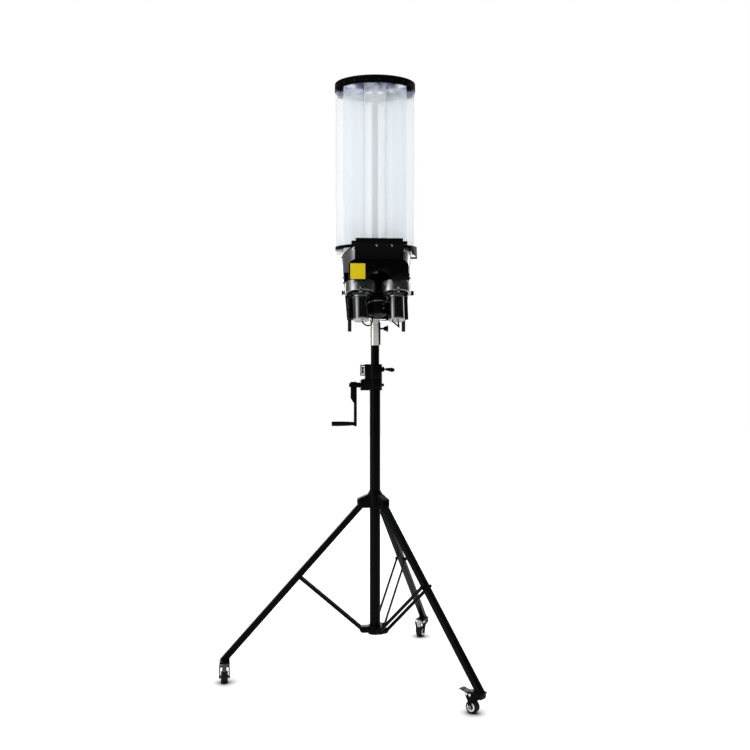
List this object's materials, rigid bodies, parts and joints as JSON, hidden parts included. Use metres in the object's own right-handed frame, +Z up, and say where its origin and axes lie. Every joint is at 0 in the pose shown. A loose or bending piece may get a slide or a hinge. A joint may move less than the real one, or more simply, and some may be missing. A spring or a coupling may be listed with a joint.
{
  "type": "shuttlecock launcher",
  "caption": "Shuttlecock launcher: a turning magazine of upright tubes over two flywheels, on a winch mast with folding, braced legs and braked casters.",
  "frame": {"origin": "the point of the floor under the mast's axis", "axes": "+Z up along the mast, -Y the way the head faces and launches, +X to the right as seen from its front"},
  "size_m": [0.7946, 0.8943, 1.945],
  "materials": {
    "black_paint": "semi-gloss",
    "black_plastic": "satin",
    "gloss_black": "gloss",
    "chrome": "polished",
    "steel": "zinc plated",
    "aluminium": "turned",
    "shell_grey": "gloss",
    "rubber": "matte",
    "clear_tube": "clear"
  },
  "bodies": {
    "mast_base": {"mast_outer_tube": "black_paint", "foot_collar": "black_paint", "winch_housing": "black_paint", "mast_clamp": "black_paint"},
    "hub": {"leg_hub": "black_paint"},
    "left_leg": {"leg_left": "black_paint"},
    "left_brace": {"brace_left_front": "black_paint", "brace_left_back": "black_paint"},
    "left_fork": {"caster_fork_left": "black_paint"},
    "left_wheel": {"caster_wheel_left": "rubber"},
    "left_pedal": {"brake_pedal_left": "steel"},
    "right_leg": {"leg_right": "black_paint"},
    "right_brace": {"brace_right_front": "black_paint", "brace_right_back": "black_paint"},
    "right_fork": {"caster_fork_right": "black_paint"},
    "right_wheel": {"caster_wheel_right": "rubber"},
    "right_pedal": {"brake_pedal_right": "steel"},
    "rear_leg": {"leg_rear": "black_paint"},
    "rear_brace": {"brace_rear_front": "black_paint", "brace_rear_back": "black_paint"},
    "rear_fork": {"caster_fork_rear": "black_paint"},
    "rear_wheel": {"caster_wheel_rear": "rubber"},
    "rear_pedal": {"brake_pedal_rear": "steel"},
    "clamp_lever": {"clamp_lever": "black_plastic"},
    "crank": {"crank_arm": "black_paint"},
    "crank_grip": {"crank_grip": "black_plastic"},
    "carriage": {"mast_inner_tube": "black_paint", "head_socket_sleeve": "chrome", "pan_block": "black_plastic"},
    "thumb_screw": {"thumb_screw": "black_plastic"},
    "head": {"head_shell": "shell_grey", "head_deck": "black_paint", "magazine_floor": "black_plastic", "hood": "black_plastic", "front_panel": "gloss_black", "magazine_motor": "black_plastic", "head_foot_left": "rubber", "head_foot_right": "rubber"},
    "magazine": {"magazine_bottom_ring": "black_plastic", "magazine_top_ring": "black_plastic", "centre_rod": "aluminium", "shuttle_tube_1": "clear_tube", "shuttle_tube_2": "clear_tube", "shuttle_tube_3": "clear_tube", "shuttle_tube_4": "clear_tube", "shuttle_tube_5": "clear_tube", "shuttle_tube_6": "clear_tube", "shuttle_tube_7": "clear_tube", "shuttle_tube_8": "clear_tube"},
    "left_pitch_knob": {"pitch_knob_left": "black_plastic"},
    "right_pitch_knob": {"pitch_knob_right": "black_plastic"},
    "launcher": {"launcher_plate": "black_paint", "wheel_motor_left": "black_paint", "wheel_motor_right": "black_paint", "feed_motor": "black_paint", "motor_lead_left": "rubber", "motor_lead_right": "rubber"},
    "left_flywheel": {"flywheel_left": "aluminium"},
    "right_flywheel": {"flywheel_right": "aluminium"},
    "feed_arm": {"feed_arm": "steel"}
  },
  "joints": [
    {"name": "hub_slide", "type": "slide", "parent": "mast_base", "child": "hub", "axis": [0, 0, 1], "range_m": [0, 0.16925]},
    {"name": "left_leg_fold", "type": "hinge", "parent": "hub", "child": "left_leg", "pos_m": [-0.03996, -0.00175, 0.564], "axis": [0.0436, -0.999, 0], "range_deg": [0, 32.44]},
    {"name": "left_brace_fold", "type": "hinge", "parent": "mast_base", "child": "left_brace", "pos_m": [-0.04196, -0.00183, 0.148], "axis": [-0.0436, 0.999, 0], "range_deg": [0, 38.26]},
    {"name": "left_caster_swivel", "type": "hinge", "parent": "left_leg", "child": "left_fork", "pos_m": [-0.49053, -0.02142, 0.07], "axis": [0, 0, 1], "continuous": true},
    {"name": "left_wheel_roll", "type": "hinge", "parent": "left_fork", "child": "left_wheel", "pos_m": [-0.49011, -0.04541, 0.019], "axis": [0.9998, 0.0175, 0], "continuous": true},
    {"name": "left_pedal_press", "type": "hinge", "parent": "left_fork", "child": "left_pedal", "pos_m": [-0.4899, -0.05741, 0.057], "axis": [0.9998, 0.0175, 0], "range_deg": [0, 18]},
    {"name": "right_leg_fold", "type": "hinge", "parent": "hub", "child": "right_leg", "pos_m": [0.02149, -0.03374, 0.564], "axis": [0.8434, 0.5373, 0], "range_deg": [0, 32.44]},
    {"name": "right_brace_fold", "type": "hinge", "parent": "mast_base", "child": "right_brace", "pos_m": [0.02257, -0.03542, 0.148], "axis": [-0.8434, -0.5373, 0], "range_deg": [0, 38.26]},
    {"name": "right_caster_swivel", "type": "hinge", "parent": "right_leg", "child": "right_fork", "pos_m": [0.26381, -0.41411, 0.07], "axis": [0, 0, 1], "continuous": true},
    {"name": "right_wheel_roll", "type": "hinge", "parent": "right_fork", "child": "right_wheel", "pos_m": [0.24714, -0.39684, 0.019], "axis": [-0.7193, -0.6947, 0], "continuous": true},
    {"name": "right_pedal_press", "type": "hinge", "parent": "right_fork", "child": "right_pedal", "pos_m": [0.23881, -0.38821, 0.057], "axis": [-0.7193, -0.6947, 0], "range_deg": [0, 18]},
    {"name": "rear_leg_fold", "type": "hinge", "parent": "hub", "child": "rear_leg", "pos_m": [0.01847, 0.03548, 0.564], "axis": [-0.887, 0.4617, 0], "range_deg": [0, 32.44]},
    {"name": "rear_brace_fold", "type": "hinge", "parent": "mast_base", "child": "rear_brace", "pos_m": [0.01939, 0.03725, 0.148], "axis": [0.887, -0.4617, 0], "range_deg": [0, 38.26]},
    {"name": "rear_caster_swivel", "type": "hinge", "parent": "rear_leg", "child": "rear_fork", "pos_m": [0.22672, 0.43552, 0.07], "axis": [0, 0, 1], "continuous": true},
    {"name": "rear_wheel_roll", "type": "hinge", "parent": "rear_fork", "child": "rear_wheel", "pos_m": [0.214, 0.41517, 0.019], "axis": [0.848, -0.5299, 0], "continuous": true},
    {"name": "rear_pedal_press", "type": "hinge", "parent": "rear_fork", "child": "rear_pedal", "pos_m": [0.20764, 0.40499, 0.057], "axis": [0.848, -0.5299, 0], "range_deg": [0, 18]},
    {"name": "clamp_lever_turn", "type": "hinge", "parent": "mast_base", "child": "clamp_lever", "pos_m": [0.026, 0, 1.003], "axis": [0, -1, 0], "range_deg": [0, 90]},
    {"name": "mast_lift", "type": "slide", "parent": "mast_base", "child": "carriage", "axis": [0, 0, 1], "range_m": [-0.055, 0.3]},
    {"name": "crank_turn", "type": "hinge", "parent": "mast_base", "child": "crank", "pos_m": [-0.05, 0, 0.951], "axis": [-1, 0, 0], "range_deg": [-238, 1278]},
    {"name": "grip_spin", "type": "hinge", "parent": "crank", "child": "crank_grip", "pos_m": [-0.1, 0, 0.824], "axis": [-1, 0, 0], "continuous": true},
    {"name": "thumb_screw_turn", "type": "hinge", "parent": "carriage", "child": "thumb_screw", "pos_m": [0.03, 0, 1.137], "axis": [1, 0, 0], "continuous": true},
    {"name": "head_pan", "type": "hinge", "parent": "carriage", "child": "head", "pos_m": [0, 0, 1.233], "axis": [0, 0, 1], "range_deg": [-45, 45]},
    {"name": "magazine_turn", "type": "hinge", "parent": "head", "child": "magazine", "pos_m": [0, 0, 1.4], "axis": [0, 0, 1], "continuous": true},
    {"name": "left_knob_turn", "type": "hinge", "parent": "head", "child": "left_pitch_knob", "pos_m": [-0.11, -0.03, 1.253], "axis": [-1, 0, 0], "continuous": true},
    {"name": "right_knob_turn", "type": "hinge", "parent": "head", "child": "right_pitch_knob", "pos_m": [0.11, -0.03, 1.253], "axis": [1, 0, 0], "continuous": true},
    {"name": "launcher_pitch", "type": "hinge", "parent": "head", "child": "launcher", "pos_m": [0, -0.03, 1.253], "axis": [-1, 0, 0], "range_deg": [-15, 10]},
    {"name": "left_flywheel_spin", "type": "hinge", "parent": "launcher", "child": "left_flywheel", "pos_m": [-0.057, -0.08989, 1.26905], "axis": [0, 0.2588, 0.9659], "continuous": true},
    {"name": "right_flywheel_spin", "type": "hinge", "parent": "launcher", "child": "right_flywheel", "pos_m": [0.057, -0.08989, 1.26905], "axis": [0, 0.2588, 0.9659], "continuous": true},
    {"name": "feed_push", "type": "slide", "parent": "launcher", "child": "feed_arm", "axis": [0, -0.9659, 0.2588], "range_m": [0, 0.02]}
  ],
  "couplings": [
    {"joint": "left_leg_fold", "follows": "hub_slide", "rad_per_m": 3.3406},
    {"joint": "left_brace_fold", "follows": "hub_slide", "rad_per_m": 3.9403},
    {"joint": "right_leg_fold", "follows": "hub_slide", "rad_per_m": 3.3406},
    {"joint": "right_brace_fold", "follows": "hub_slide", "rad_per_m": 3.9403},
    {"joint": "rear_leg_fold", "follows": "hub_slide", "rad_per_m": 3.3406},
    {"joint": "rear_brace_fold", "follows": "hub_slide", "rad_per_m": 3.9403},
    {"joint": "crank_turn", "follows": "mast_lift", "rad_per_m": 74.074}
  ]
}
